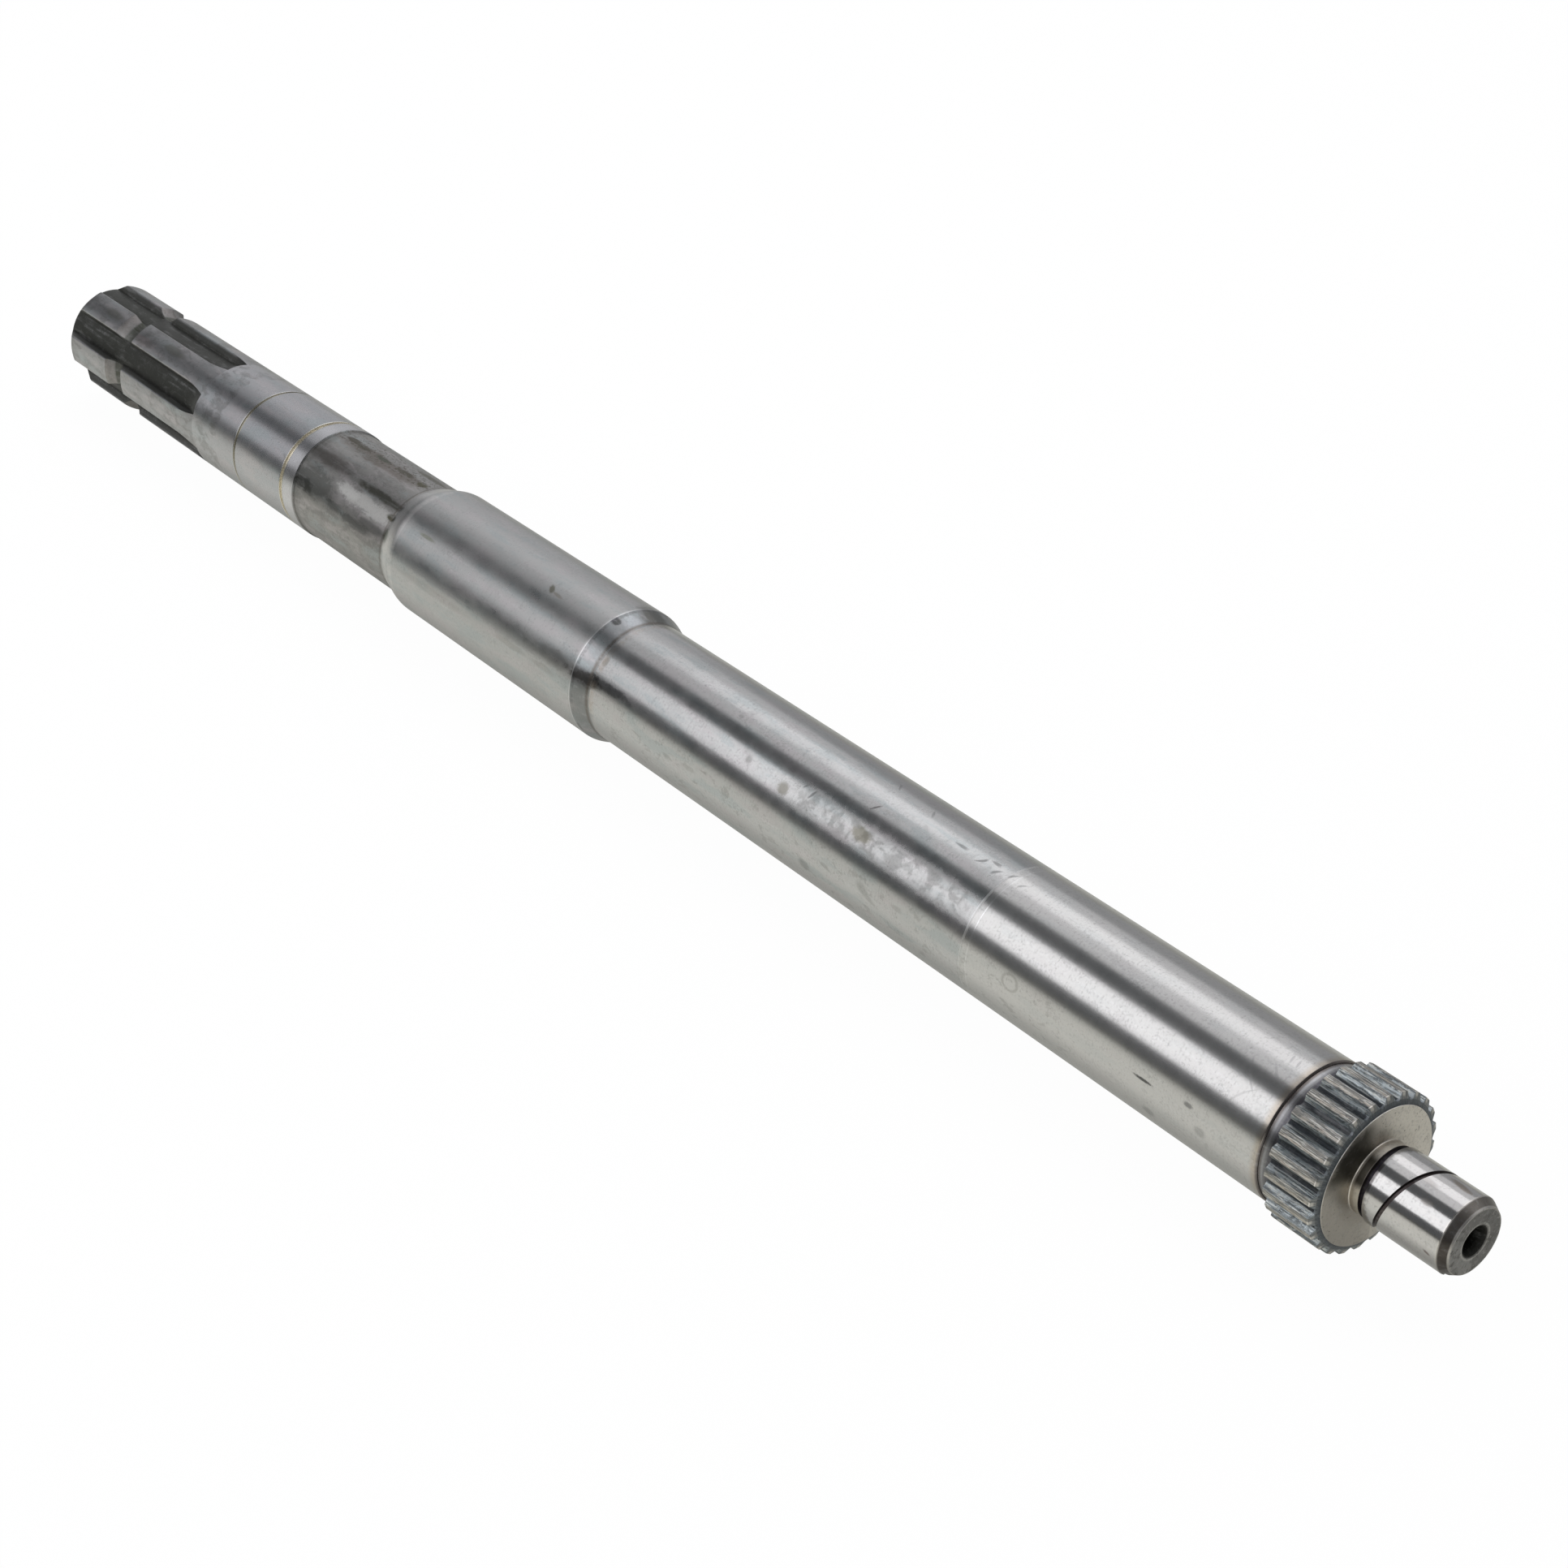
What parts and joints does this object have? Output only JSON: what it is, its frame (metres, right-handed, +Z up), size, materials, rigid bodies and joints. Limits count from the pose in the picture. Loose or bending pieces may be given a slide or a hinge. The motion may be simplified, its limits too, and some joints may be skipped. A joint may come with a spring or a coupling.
{
  "type": "power take-off shaft",
  "caption": "Long turned steel shaft: splined coupling end with a locking groove, stepped bearing sections, toothed spline and a slim journal with an oil groove.",
  "frame": {"origin": "on the shaft's own axis, halfway along its length", "axes": "+X along the axis from the six-spline end to the slim journal, +Z up as the shaft lies, +Y away from the side that the picture shows"},
  "size_m": [0.581, 0.0378, 0.0378],
  "materials": {
    "steel": "turned and ground steel with a fine satin sheen, machined grooves dull and darker"
  },
  "bodies": {
    "root": {"pto_shaft": "steel"}
  },
  "joints": []
}
